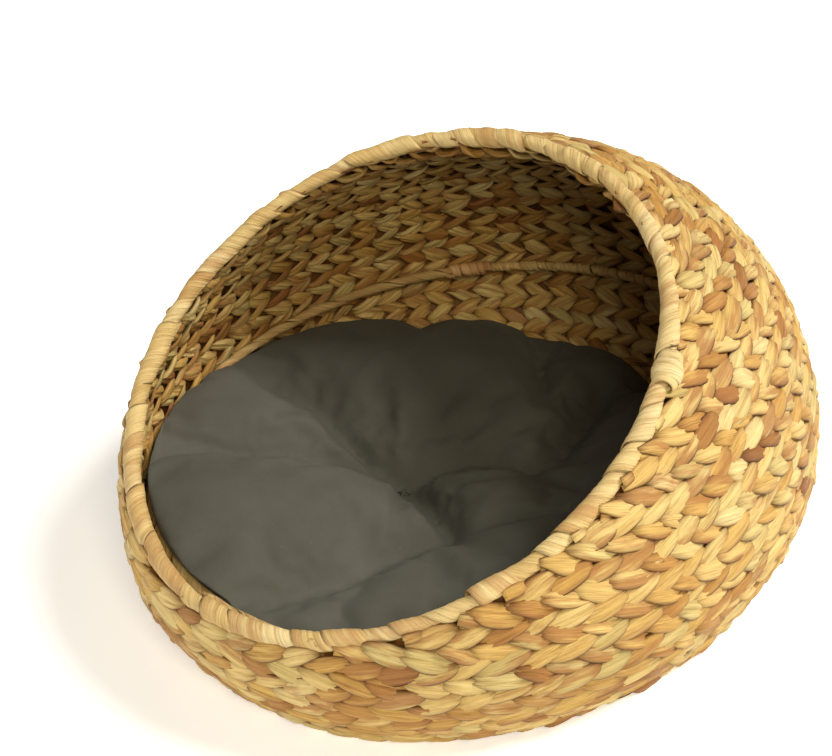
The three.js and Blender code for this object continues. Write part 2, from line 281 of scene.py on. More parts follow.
def lens(crown, sink, ridges, crease, folded):
    """How far out each section point of a flattened strand lies, for each ring. crown and sink are how far
    its two faces bulge, crease lifts or sinks its middle to a sharp line, and folded lowers one half."""
    body = np.maximum(1 - np.abs(SECTION) ** 3.4, 0) ** 0.8
    bare = np.maximum(1 - SECTION ** 2, 0)
    line = np.abs(SECTION - CREASE_AT)
    relief = crease[:, None] * (0.75 - 1.7 * line) * bare + ridges * bare
    fold = 0.5 * np.exp(-(line / 0.12) ** 2) + 0.8 * (SECTION < CREASE_AT)
    relief = relief - folded[:, None] * fold * bare
    outer = np.maximum(crown[:, None] * body + relief, THINNEST * bare)
    inner = np.maximum(sink[:, None] * body + relief, THINNEST * bare)
    return np.where(IS_OUTER, outer, -inner)


def ridged(across, along, rng, depth):
    """Long wrinkles that follow a strand and drift across it."""
    total = np.zeros_like(across)
    for wavelength, share in RIDGES:
        knots = rng.uniform(0, 2 * math.pi, max(int(along.max() / RIDGE_DRIFT), 2) + 2)
        phase = np.interp(along, np.linspace(along.min(), along.max() + 1, len(knots)), knots) * 1.4
        total += share * np.sin(2 * math.pi * across / wavelength + phase[:, None])
    return depth * total


def sway(share, row):
    """How far a row wanders up and down round the basket, much like the rows beside it."""
    turn = 2 * math.pi * share
    return sum(size * np.sin(times * turn + start + drift * row)
        for times, size, start, drift in SWAY_WAVES)


def stake_lags(count):
    """How far each stake stands from its even place, in stitches."""
    return STAKE_LAG * np.random.default_rng(STAKE_SEED + count).uniform(-1, 1, count)


def row_track(level, count, span, row, rng, steps_to_stitch):
    """The line of one row midway through the wall, with a point for each ring of its strands. place counts
    the stakes passed, and near_end falls from 1 to 0 where an open row ends at the mouth."""
    closed = span is None
    start, end = (0.0, float(count)) if closed else (span[0] * count, span[1] * count)
    steps = int(round((end - start) * steps_to_stitch))
    place = start + (end - start) * np.arange(steps if closed else steps + 1) / steps
    floor = np.floor(place).astype(int)
    lags = stake_lags(count) + ROW_LAG * rng.uniform(-1, 1, count)
    lag = lags[floor % count] + (lags[(floor + 1) % count] - lags[floor % count]) * ease(place - floor)
    from_end = np.minimum(place - start, end - place)
    near_mouth = 1.0 if closed else ease(from_end / 2)
    point, normal, forward = round_frame(level, (place + lag * near_mouth) / count)
    up = np.cross(normal, forward)
    point = point + up * (sway(place / count, row) * near_mouth)[:, None]
    stitch = FULL_TURN * level["radius"] / count
    near_end = np.ones_like(place) if closed else ease(from_end * stitch / FLAT_END)
    return SimpleNamespace(closed=closed, start=start, leaves=count // STRANDS, place=place,
        point=point, normal=normal, up=up, stitch=stitch, near_end=near_end, lean=1 if row % 2 else -1)


class Run:
    """Where one strand is at each point of a row: in front of two stakes, behind the next, or between.
    turned counts stakes from one that it passes behind."""

    def __init__(self, turned, leaves, rng):
        self.leaves, self.rng = leaves, rng
        self.front_leaf = np.floor(turned / STRANDS).astype(int) % leaves
        self.back_leaf = np.round(turned / STRANDS).astype(int) % leaves
        self.from_middle = np.mod(turned, STRANDS) - MID_RUN
        self.away = np.abs(self.from_middle)
        self.is_front = self.away < TUCK_AT
        self.front_share = ease((TUCK_AT + PASSING - self.away) / (2 * PASSING))
        self.past = np.clip((self.away - TUCK_AT) / (MID_RUN - TUCK_AT), 0, 1)
        self.before = np.clip(self.away / TUCK_AT, 0, 1)

    def value(self, spread, middle=0.0):
        """A random value for each leaf, blended where the strand passes through the wall."""
        front, back = middle + spread * self.rng.uniform(-1, 1, (2, self.leaves))
        start = back[self.back_leaf]
        return start + (front[self.front_leaf] - start) * self.front_share

    def chosen(self):
        """A random share for each leaf, which changes at once where the strand passes through."""
        front, back = self.rng.uniform(0, 1, (2, self.leaves))
        return np.where(self.is_front, front[self.front_leaf], back[self.back_leaf])


def steps_along(path, closed):
    """The way from the point before each point to the point after it."""
    return np.roll(path, -1, 0) - np.roll(path, 1, 0) if closed else np.gradient(path, axis=0)


def strand_path(track, run, end_stand, shape):
    """A strand's line in and out of the stakes, with the directions across it and out of its face."""
    rise = np.where(run.is_front, np.sin(math.pi / 2 * run.before), np.cos(math.pi / 2 * run.past))
    climb = track.lean * np.sign(run.from_middle) * rise * shape["climb"]
    climb = climb * run.value(LEAF_SPREAD["climb"], 1.0) + run.value(LEAF_SPREAD["height"])
    depth = np.cos(math.pi * (run.away / MID_RUN) ** TUCK_POWER)
    swing = np.tanh(1.5 * depth) / np.tanh(1.5) * shape["swing"] * (0.3 + 0.7 * track.near_end)
    lap = track.lean * shape["lap"] * run.from_middle * run.front_share
    swing += end_stand * (1 - track.near_end) + lap + run.value(LEAF_SPREAD["swing"])
    level_path = track.point + track.up * climb[:, None]
    path = level_path + track.normal * swing[:, None]
    tilt = (shape["tilt"] + run.value(LEAF_SPREAD["tilt"])) * track.near_end
    level_wide = unit(np.cross(track.normal, steps_along(level_path, track.closed)))
    wide = level_wide * np.cos(tilt)[:, None] - track.normal * np.sin(tilt)[:, None]
    face = unit(np.cross(unit(steps_along(path, track.closed)), wide))
    return path, wide, face


def strand_section(track, run, along, rng, shape):
    """For each point of a strand's rings: how far across it lies, how far out, and its painted shade where
    it is tucked or at its edges.
    """
    full = (1 - run.before ** 2) ** (1.2 + run.value(LEAF_SPREAD["point"]))
    open_share = np.where(run.is_front, full, np.sin(math.pi / 2 * run.past) ** 0.6)
    full_width = np.where(run.is_front, shape["half_width"], shape["back_width"])
    half_width = shape["tuck_width"] + (full_width - shape["tuck_width"]) * open_share
    half_width *= run.value(LEAF_SPREAD["width"], 1.0) * (0.55 + 0.45 * track.near_end)
    bulge = run.value(LEAF_SPREAD["bulge"], 1.0) * (0.6 + 0.4 * track.near_end)
    raised = (shape["crown"] - shape["flat"]) * run.front_share
    across = half_width[:, None] * SECTION
    closed_share = 1 - open_share[:, None]
    # painted shade: a strand's edges and the parts tucked behind the stakes are darkened, standing in for
    # the shade between leaves
    edge_shade = (0.6 + 0.4 * run.front_share[:, None]) * np.abs(SECTION) ** 5
    painted_shade = np.clip(edge_shade + 0.9 * closed_share ** 2.4, 0, 1)
    ridges = ridged(across, along, rng, RIDGE_DEPTH + TUCKED_RIDGES * closed_share)
    folded = (run.chosen() < FOLDED_SHARE) * open_share
    crease = run.value(LEAF_SPREAD["crease"], 0.1)
    out = lens(bulge * (shape["flat"] + raised), bulge * (shape["crown"] - raised), ridges, crease, folded)
    return across, out, painted_shade


def twine(fibres, level, count, span, row, rng, shape):
    """One round of three strands, each in turn passing in front of two stakes and behind the next."""
    track = row_track(level, count, span, row, rng, shape["steps"])
    end_stand = rng.uniform(*END_STAND)
    first = int(rng.integers(STRANDS))
    for strand in range(STRANDS):
        run = Run(track.place - strand - first, track.leaves, rng)
        path, wide, face = strand_path(track, run, end_stand, shape)
        seam = strand + first + MID_RUN + TUCK_AT
        passed = np.mod(track.place - seam, count) if track.closed else track.place - track.start
        along = passed * track.stitch
        across, out, painted_shade = strand_section(track, run, along, rng, shape)
        rings = path[:, None] + wide[:, None] * across[..., None] + face[:, None] * out[..., None]
        fibres.tube(rings, track.closed, run.chosen(), run.chosen(), along, across, rng, painted_shade)


def polyline(points):
    """A closed line as a function from lengths along it to points and forward directions."""
    ring = np.vstack([points, points[:1]])
    length = np.concatenate([[0], np.cumsum(np.linalg.norm(np.diff(ring, axis=0), axis=1))])
    total = length[-1]

    def at(place):
        place = np.mod(place, total)
        return np.stack([np.interp(place, length, ring[:, k]) for k in range(3)], -1)

    def follow(place):
        return at(place), unit(at(place + 2.0) - at(place - 2.0))

    return follow, total


def rim_line():
    """Points of the rim's centre line, starting at the knot."""
    angle = KNOT_ANGLE + circle(LINE_POINTS)
    low, high = np.full(LINE_POINTS, 14.0), np.full(LINE_POINTS, BULGE_HEIGHT + DOME_RISE)

    def on_wall(z):
        radius = core_radius(z)
        return np.stack([radius * np.cos(angle), DEPTH_RATIO * radius * np.sin(angle), z], -1)

    for _ in range(40):
        middle = (low + high) / 2
        beyond = on_wall(middle) @ MOUTH_NORMAL > MOUTH_DISTANCE
        high, low = np.where(beyond, middle, high), np.where(beyond, low, middle)
    return on_wall(low)


def wind(fibres, line, plane_normal, strip, rng, span=None):
    """A flat strip wound round a line, each turn lapping over the one before."""
    follow, total = line
    radius, pitch, width, lump, (darkest, palest) = strip
    closed = span is None
    begin, stretch = (0.0, total) if closed else (span[0], span[1] - span[0])
    turns = max(int(round(stretch / pitch)), 2)
    turned = np.arange(turns * STEPS_TO_TURN + (0 if closed else 1)) / STEPS_TO_TURN
    floor = np.floor(turned).astype(int)

    def value(spread):
        knots = spread * rng.uniform(-1, 1, turns)
        low, high = knots[floor % turns], knots[(floor + 1) % turns]
        return low + (high - low) * ease(turned - floor)

    place = begin + stretch * (turned + value(0.16)) / turns
    angle = 2 * math.pi * turned
    half = width / 2 * (1 + value(0.18))
    lift = radius + value(lump)
    across = half[:, None] * SECTION
    along = turned * 2 * math.pi * radius
    ridges = ridged(across, along, rng, 0.16)
    lapped = (0.5 - SECTION / 2) * 1.3
    crowned = 0.9 * np.maximum(1 - SECTION ** 4, 0)
    out = np.where(IS_OUTER, lapped + crowned * 0.8 + ridges * (1 - SECTION ** 2), lapped - 0.7)
    at = place[:, None] + across
    point, forward = (part.reshape(*at.shape, 3) for part in follow(at.ravel()))
    side = unit(np.cross(plane_normal, forward))
    spoke = side * np.cos(angle)[:, None, None] + plane_normal * np.sin(angle)[:, None, None]
    rings = point + spoke * (lift[:, None] + out)[..., None]
    tone = darkest + (palest - darkest) * rng.random(turns)
    tint = rng.random(turns)
    turn = floor % turns
    fibres.tube(rings, closed, tone[turn], tint[turn], along, across, rng)


def bristle(fibres, root, tip, bow, radius, tone, rng):
    """A loose fibre end, from its root to its tip, bowed sideways."""
    share = np.linspace(0, 1, 7)
    path = root + (tip - root) * share[:, None] + bow * (np.sin(math.pi * share) * share)[:, None]
    ahead = unit(np.gradient(path, axis=0))
    side = unit(np.cross(ahead, np.array([0.3, 0.2, 0.93])))
    other = np.cross(ahead, side)
    turn = circle(5)
    size = radius * (1 - 0.85 * share)
    spoke = side[:, None] * np.cos(turn)[:, None] * 1.6 + other[:, None] * np.sin(turn)[:, None] * 0.7
    rings = path[:, None] + size[:, None, None] * spoke
    fibres.tube(rings, False, tone, rng.random(), share * 12, turn, rng)


# ---- Materials

def shader_tree(name):
    material = bpy.data.materials.new(name)
    material.use_nodes = True
    tree = material.node_tree
    return material, tree, tree.nodes["Principled BSDF"]


def feed(tree, to, inputs):
    """Sets a node's sockets to constants, or links them to the outputs that feed them."""
    for key, value in inputs.items():
        socket = to.inputs[key]
        if isinstance(value, bpy.types.NodeSocket):
            tree.links.new(value, socket)
        else:
            socket.default_value = (*value, 1) if socket.type == "RGBA" else value


def node(tree, kind, inputs=None, **settings):
    made = tree.nodes.new("ShaderNode" + kind)
    for key, setting in settings.items():
        setattr(made, key, setting)
    feed(tree, made, inputs or {})
    return made


def ramp(tree, factor, stops):
    made = node(tree, "ValToRGB", {"Fac": factor})
    elements = made.color_ramp.elements
    while len(elements) < len(stops):
        elements.new(0.5)
    for element, (position, colour) in zip(elements, stops):
        element.position = position
        element.color = (*colour, 1)
    return made.outputs["Color"]


def maths(tree, operation, first, second):
    return node(tree, "Math", {0: first, 1: second}, operation=operation).outputs[0]


def mixed(tree, factor, first, second, blend="MIX"):
    """A Mix node keeps its colours in inputs 6 and 7 and output 2."""
    inputs = {"Factor": factor, 6: first, 7: second}
    return node(tree, "Mix", inputs, data_type="RGBA", blend_type=blend).outputs[2]


def scaled_noise(tree, vector, scale, detail=3.0, roughness=0.5):
    stretched = node(tree, "VectorMath", {0: vector, 1: scale}, operation="MULTIPLY").outputs[0]
    inputs = {"Vector": stretched, "Scale": 1.0, "Detail": detail, "Roughness": roughness}
    return node(tree, "TexNoise", inputs).outputs["Fac"]


def fibre_material(name, stops, stain, stain_amount, streak=0.6):
    """Dried plant fibre: a colour for each leaf, streaks along it, stains, fine wrinkles and painted shade
    in tucks and at edges.
    """
    material, tree, shader = shader_tree(name)
    strand = node(tree, "Attribute", attribute_name="strand").outputs["Vector"]
    tone, tint, painted_shade = (node(tree, "Attribute", attribute_name=label).outputs["Fac"]
        for label in ("tone", "tint", "painted_shade"))
    base = ramp(tree, tone, stops)
    fine = scaled_noise(tree, strand, (45, 1100, 1), 4.0, 0.6)
    broad = scaled_noise(tree, strand, (28, 260, 1), 2.0)
    patch = scaled_noise(tree, strand, (26, 120, 1.7), 3.0, 0.6)
    streaks = ramp(tree, fine, [(0.30, (0.40, 0.29, 0.18)), (0.47, (0.90, 0.86, 0.79)), (0.66, (1, 1, 1))])
    colour = mixed(tree, streak, base, streaks, "MULTIPLY")
    shade = ramp(tree, broad, [(0.35, (0.76, 0.68, 0.54)), (0.60, (1, 1, 1))])
    colour = mixed(tree, 0.7, colour, shade, "MULTIPLY")
    reach = node(tree, "MapRange", {"Value": tint, "To Min": 0.16, "To Max": -0.14}).outputs["Result"]
    stained = maths(tree, "SUBTRACT", patch, reach)
    mask = ramp(tree, stained, [(0.50, (0, 0, 0)), (0.66, (1, 1, 1))])
    amount = maths(tree, "MULTIPLY", mask, stain_amount)
    colour = mixed(tree, amount, colour, stain)
    # painted shade: a dark brown is multiplied in where a strand is tucked, at its edges and on the stakes
    colour = mixed(tree, painted_shade, colour, (0.22, 0.11, 0.04), "MULTIPLY")
    rough = node(tree, "MapRange", {"Value": fine, "To Min": 0.72, "To Max": 0.46}).outputs["Result"]
    wrinkle = maths(tree, "ADD", fine, broad)
    bump = node(tree, "Bump", {"Height": wrinkle, "Strength": 0.9, "Distance": 0.0014}).outputs["Normal"]
    feed(tree, shader, {
        "Base Color": colour, "Roughness": rough, "Specular IOR Level": 0.35, "Normal": bump})
    return material


def weave_fibre():
    return fibre_material("woven_fibre", [
        (0.0, (0.26, 0.10, 0.024)), (0.05, (0.44, 0.22, 0.052)), (0.13, (0.56, 0.33, 0.085)),
        (0.28, (0.63, 0.41, 0.12)), (0.50, (0.69, 0.49, 0.175)), (0.74, (0.74, 0.56, 0.225)),
        (0.90, (0.60, 0.48, 0.19)), (1.0, (0.79, 0.63, 0.30))], (0.34, 0.14, 0.033), 0.78)


def trim_fibre():
    return fibre_material("trim_fibre", [
        (0.0, (0.54, 0.36, 0.13)), (0.3, (0.66, 0.48, 0.20)), (0.7, (0.72, 0.56, 0.26)),
        (1.0, (0.78, 0.64, 0.35))], (0.42, 0.21, 0.07), 0.6, streak=0.7)


def binding_fibre():
    return fibre_material("binding_fibre", [
        (0.0, (0.38, 0.19, 0.08)), (0.5, (0.58, 0.33, 0.14)), (1.0, (0.70, 0.46, 0.22))],
        (0.30, 0.12, 0.05), 0.6)


def wire_paint():
    material, tree, shader = shader_tree("wire_paint")
    where = node(tree, "TexCoord").outputs["Object"]
    worn = scaled_noise(tree, where, (120, 120, 120), 4.0, 0.6)
    colour = ramp(tree, worn, [(0.42, (0.10, 0.070, 0.040)), (0.60, (0.16, 0.105, 0.055)),
        (0.72, (0.24, 0.14, 0.07))])
    rough = node(tree, "MapRange", {"Value": worn, "To Min": 0.35, "To Max": 0.65}).outputs["Result"]
    bump = node(tree, "Bump", {"Height": worn, "Strength": 0.3, "Distance": 0.0003}).outputs["Normal"]
    feed(tree, shader, {"Base Color": colour, "Roughness": rough, "Normal": bump})
    return material


def cushion_cloth():
    """Matt cotton in a plain weave, a little uneven and slightly brushed."""
    material, tree, shader = shader_tree("cushion_cloth")
    where = node(tree, "Attribute", attribute_name="cloth_at").outputs["Vector"]
    warp = scaled_noise(tree, where, (1500, 160, 900), 2.0)
    weft = scaled_noise(tree, where, (160, 1500, 900), 2.0)
    cloudy = scaled_noise(tree, where, (16, 16, 16), 4.0, 0.6)
    lint = scaled_noise(tree, where, (420, 420, 420), 1.0)
    threads = maths(tree, "ADD", warp, weft)
    base = ramp(tree, threads, [(0.35, (0.029, 0.028, 0.022)), (0.65, (0.082, 0.080, 0.066))])
    clouds = ramp(tree, cloudy, [(0.3, (0.78, 0.77, 0.74)), (0.7, (1.0, 1.0, 1.0))])
    colour = mixed(tree, 1.0, base, clouds, "MULTIPLY")
    specks = ramp(tree, lint, [(0.74, (0, 0, 0)), (0.80, (1, 1, 1))])
    amount = maths(tree, "MULTIPLY", specks, 0.14)
    colour = mixed(tree, amount, colour, (0.26, 0.25, 0.21))
    bump = node(tree, "Bump", {"Height": threads, "Strength": 0.5, "Distance": 0.0005}).outputs["Normal"]
    feed(tree, shader, {
        "Base Color": colour, "Roughness": 0.92, "Specular IOR Level": 0.18, "Normal": bump,
        "Sheen Weight": 0.06, "Sheen Roughness": 0.5, "Sheen Tint": (0.62, 0.60, 0.52)})
    return material


def thread():
    material, tree, shader = shader_tree("dark_thread")
    where = node(tree, "TexCoord").outputs["Object"]
    lay = scaled_noise(tree, where, (900, 900, 900), 2.0)
    colour = ramp(tree, lay, [(0.35, (0.030, 0.029, 0.022)), (0.65, (0.070, 0.068, 0.055))])
    feed(tree, shader, {"Base Color": colour, "Roughness": 0.8})
    return material


# ---- The basket

def stitch_count(radius):
    """Stitches to a round, the most that leave each of them long enough."""
    for count in STITCH_COUNTS:
        if FULL_TURN * radius / count >= SHORTEST_STITCH:
            return count
    return FEWEST_STITCHES


def wall_rows():
    """The level of each row of the wall, from the floor to the top of the hood."""
    section = wall_section(WALL_THICKNESS / 2)
    first = np.interp(FIRST_ROW_HEIGHT, section["height"], section["length"])
    rows = []
    for length in np.arange(first, section["length"][-1], ROW_PITCH):
        level = {key: float(np.interp(length, section["length"], section[key])) for key in section}
        span = open_range(level)
        if span is not None and (span[1] - span[0]) * FULL_TURN * level["radius"] < SHORTEST_ROW:
            break
        rows.append((level, span))
    return rows


def weave_wall(material):
    """Yields the wall a few rows at a time, each with the CAD node that it stands for."""
    rng = np.random.default_rng(11)
    rows = wall_rows()
    for first in range(0, len(rows), ROWS_PER_PIECE):
        fibres = Fibres()
        for index, (level, span) in enumerate(rows[first:first + ROWS_PER_PIECE], first):
            twine(fibres, level, stitch_count(level["radius"]), span, index, rng, WALL_TWINE)
        low = rows[first][0]["height"]
        piece = fibres.object(f"wall_rows_{first // ROWS_PER_PIECE + 1:02d}", material)
        yield piece, "bowl_weave" if low < WAIST_HEIGHT - ROW_PITCH else "hood_weave"


def weave_base(material):
    """Yields the flat base a few rounds at a time."""
    rng = np.random.default_rng(23)
    radii = np.arange(FIRST_ROUND_RADIUS, LAST_ROUND_RADIUS, ROW_PITCH)
    for first in range(0, len(radii), ROUNDS_PER_PIECE):
        fibres = Fibres()
        for index, radius in enumerate(radii[first:first + ROUNDS_PER_PIECE], first):
            level = {"radius": radius, "height": BASE_HEIGHT, "out": 0.0, "up": -1.0}
            leaves = int(round(FULL_TURN * radius / BASE_LEAF_SPACING))
            twine(fibres, level, max(FEWEST_STITCHES, STRANDS * leaves), None, index, rng, BASE_TWINE)
        yield fibres.object(f"base_rounds_{first // ROUNDS_PER_PIECE + 1}", material)


def set_stakes(fibres, rng):
    """The upright fibre stakes that the rows are twined round."""
    levels = [level for level, _ in wall_rows()]
    turn = circle(6)
    for count in sorted({stitch_count(level["radius"]) for level in levels}):
        band = [level for level in levels if stitch_count(level["radius"]) == count]
        lags = stake_lags(count)
        for index in range(count):
            framed = [round_frame(level, np.array([(index + lags[index]) / count])) for level in band]
            path = np.concatenate([point for point, _, _ in framed])
            half = np.array([STAKE_COVER * FULL_TURN * level["radius"] / count for level in band])
            kept = path @ MOUTH_NORMAL < WEAVE_EDGE
            if kept.sum() < 2:
                continue
            path, half = path[kept], half[kept]
            path = np.vstack([path[0] * 1.5 - path[1] * 0.5, path, path[-1] * 1.5 - path[-2] * 0.5])
            half = np.concatenate([half[:1], half, half[-1:]])
            ahead = unit(np.gradient(path, axis=0))
            side = framed[0][2][0]
            out = np.cross(side, ahead)
            rings = path[:, None] + half[:, None, None] * side * np.cos(turn)[:, None]
            rings = rings + STAKE_HALF_THICKNESS * out[:, None] * np.sin(turn)[:, None]
            tone, tint = 0.1 + 0.4 * rng.random(), rng.random()
            along = np.arange(len(path)) * ROW_PITCH
            # painted shade: the stakes show only in the gaps between strands, so they are darkened heavily
            fibres.tube(rings, False, tone, tint, along, turn, rng, painted_shade=0.9, flip=True)


def wrap_rim(fibres, rng):
    points = rim_line()
    turn = circle(len(points))
    wobble = sum(size * np.sin(times * turn + start) for times, size, start in RIM_WAVES)
    points = points + MOUTH_NORMAL * wobble[:, None]
    wind(fibres, polyline(points), MOUTH_NORMAL, RIM_STRIP, rng)


def tie_knot(fibres, rng):
    """The bulge where the rim's strip is tied off."""
    follow, _ = polyline(rim_line())
    centre, forward = (part[0] for part in follow(np.array([0.0])))
    out = unit(np.array([centre[0], centre[1] / DEPTH_RATIO ** 2, 0.0]))
    turn = circle(40)
    for offset, size, tilt in KNOT_WRAPS:
        middle = centre + out * KNOT_STAND + forward * offset
        tilt = math.radians(tilt)
        axis = unit(forward * math.cos(tilt) + MOUTH_NORMAL * math.sin(tilt))
        first = unit(np.cross(axis, out))
        second = np.cross(axis, first)
        spoke = first * np.cos(turn)[:, None] + second * np.sin(turn)[:, None]
        across = np.broadcast_to(KNOT_HALF_WIDTH * SECTION, (len(turn), len(SECTION)))
        sag = np.sqrt(np.maximum(size ** 2 - across ** 2 * 0.6, 4)) - size
        ridges = ridged(across, turn * size, rng, 0.15)
        outward = np.where(IS_OUTER, sag + 0.8 + ridges * (1 - SECTION ** 2), sag - 0.4)
        rings = middle + spoke[:, None] * (size + outward)[..., None] + axis * across[..., None]
        fibres.tube(rings, True, 0.75 + 0.25 * rng.random(), 0.3, turn * size, across, rng)


def fray_ends(fibres, rng):
    """Loose fibre ends beside the knot and on the front of the rim."""
    for x, y, z, length, number in FRAYS:
        root = np.array([x, y, z], float)
        out = unit(np.array([x, y, 60.0]))
        for _ in range(number):
            start = root + rng.normal(0, 2.2, 3)
            tip = start + out * length * rng.uniform(0.5, 1) + rng.normal(0, 3.2, 3)
            bristle(fibres, start, tip, rng.normal(0, 2.0, 3), FRAY_RADIUS, rng.uniform(0, 0.5), rng)


def waist_ring():
    """The line of the waist hoop, starting at its binding."""
    radius = float(core_radius(WAIST_HEIGHT)) + OUTER_STAND - WALL_THICKNESS - WAIST_INSET
    angle = BINDING_ANGLE + circle(LINE_POINTS)
    height = np.full(LINE_POINTS, WAIST_HEIGHT)
    return polyline(np.stack([radius * np.cos(angle), DEPTH_RATIO * radius * np.sin(angle), height], -1))


def wrap_waist(fibres, rng):
    ring = waist_ring()
    length = ring[1]
    wind(fibres, ring, UPWARD, LONG_STRIP, rng, span=(BINDING_GAP, LONG_SHARE * length))
    wind(fibres, ring, UPWARD, CLOSE_STRIP, rng, span=(CLOSE_SHARE * length, length - BINDING_GAP))


def bind_waist(fibres, rng):
    wind(fibres, waist_ring(), UPWARD, BINDING_STRIP, rng, span=(-BINDING_REACH, BINDING_REACH))


# ---- The cushion

CUSHION_HALF_WIDTH, CUSHION_HALF_DEPTH = 219.0, 236.0
CUSHION_MIDDLE = np.array([-11.0, -23.0])
CUSHION_LEAN = 38.0  # how much higher it lies where it is pushed up the left front of the wall
CUSHION_CURL = 9.0  # how much that slope steepens towards the wall
TUFT_AT = np.array([-42.0, -36.0])
CUSHION_SEAM = 42.0
CUSHION_FLOOR = 15.5
LOFT, LOFT_LOST = 22, 8  # how far the top rises over the seam, and how much less where it is pushed up
HOLLOWS = ((14, 50), (6, 9))  # depth and radius of the wide hollow round the tuft, and of the pit in it
GATHERS = ((2.4, 11, 1, 40, 80), (1.6, 17, 4, -25, 140))  # size, number, start, twist and reach
PUCKERS = 1.5, 0.9  # size of the wide and of the narrow puckers along the edge
VOXEL = 5  # size of the cover's mesh before it is smoothed
PUFF_FRAMES, PUFF_CAP = 20, 20.0  # length of the simulation, and how far a point may move in it
HELD_DEPTH, HELD_OVER = 13, 9  # depth of a fold where it begins to be held, and from there to held fast
CLEARANCE = 2.5  # between the cushion and the wall
WAIST_STAND, WAIST_REACH = 8.0, 7  # how far the waist hoop stands in from the wall, and half its height

# Valleys pressed into the top: points along each, its depth at start and end, and its half width
FOLDS = [
    ([(-42, -36), (-90, -36), (-134, -21), (-185, -22)], 32, 24, 16),
    ([(-42, -36), (-78, -60), (-112, -84), (-150, -128), (-178, -150)], 32, 20, 15),
    ([(-42, -36), (2, -56), (40, -78), (26, -108), (20, -140), (15, -180), (-2, -222)], 36, 24, 16),
    ([(40, -78), (64, -54), (100, -30)], 20, 10, 11),
    ([(-42, -36), (-7, 16), (28, 22), (42, 40), (40, 62), (30, 109), (22, 149)], 32, 28, 15),
    ([(28, 22), (56, 8), (92, 0)], 22, 8, 10),
    ([(0, 96), (-20, 122), (-44, 150), (-60, 196)], 12, 26, 13),
    ([(-42, -36), (-50, -4), (-56, 30)], 28, 8, 8),
    ([(-44, 6), (-38, 20), (-20, 34)], 22, 8, 7),
    ([(-34, -196), (-6, -212), (14, -216)], 12, 18, 7),
]


def fold_depth(x, y):
    """How deep the folds press into the cushion at each point."""
    deepest = np.zeros_like(x)
    for corners, first, last, half_width in FOLDS:
        corners = np.array(corners, float)
        knots = np.linspace(0, 1, len(corners))
        fine = np.linspace(0, 1, 90)
        line = np.stack([np.interp(fine, knots, corners[:, k]) for k in (0, 1)], -1)
        for _ in range(12):
            line[1:-1] = (line[:-2] + line[2:]) / 4 + line[1:-1] / 2
        gap = np.hypot(x[..., None] - line[:, 0], y[..., None] - line[:, 1])
        nearest = gap.argmin(-1)
        away = np.take_along_axis(gap, nearest[..., None], -1)[..., 0]
        depth = first + (last - first) * fine[nearest]
        deepest = np.maximum(deepest, depth * np.exp(-(away / half_width) ** 1.2))
    return deepest


def from_tuft(x, y):
    return np.hypot(x - TUFT_AT[0], y - TUFT_AT[1])


def wrinkles(x, y, share):
    """Small gathers that run out from the tuft, and puckers along the edge."""
    turn = np.arctan2(y - TUFT_AT[1], x - TUFT_AT[0])
    away = from_tuft(x, y)
    gathers = sum(size * np.sin(times * turn + start + away / twist) * np.exp(-(away / reach) ** 2)
        for size, times, start, twist, reach in GATHERS)
    gathers *= 1 - np.exp(-(away / 24) ** 2)
    around = np.arctan2(y - CUSHION_MIDDLE[1], x - CUSHION_MIDDLE[0])
    wide, narrow = PUCKERS
    puckers = wide * np.sin(23 * around + 2 * np.sin(3 * around)) + narrow * np.sin(37 * around + 1)
    return gathers + puckers * np.exp(-((share - 0.86) / 0.1) ** 2)


def left_front(x, y):
    """From 1 where the cushion is pushed up the left front of the wall to -1 on the far side."""
    return -0.7 * x / CUSHION_HALF_WIDTH - 0.72 * y / CUSHION_HALF_DEPTH


def seam_height(x, y):
    pushed = left_front(x, y)
    return CUSHION_SEAM + CUSHION_LEAN * pushed + CUSHION_CURL * pushed ** 2


def cushion_heights(x, y):
    """Heights of the top face before it is puffed up."""
    share = np.hypot(
        (x - CUSHION_MIDDLE[0]) / CUSHION_HALF_WIDTH, (y - CUSHION_MIDDLE[1]) / CUSHION_HALF_DEPTH)
    pushed = left_front(x, y)
    rise = (LOFT - LOFT_LOST * pushed) * np.sqrt(np.maximum(1 - share ** (4.2 + 2 * pushed), 0))
    sunk = sum(depth * np.exp(-(from_tuft(x, y) / radius) ** 2) for depth, radius in HOLLOWS)
    inside = np.maximum(1 - share ** 4, 0)
    folds = fold_depth(x, y) * np.maximum(1 - share ** 9, 0)
    return seam_height(x, y) + rise - sunk * inside - folds + wrinkles(x, y, share)


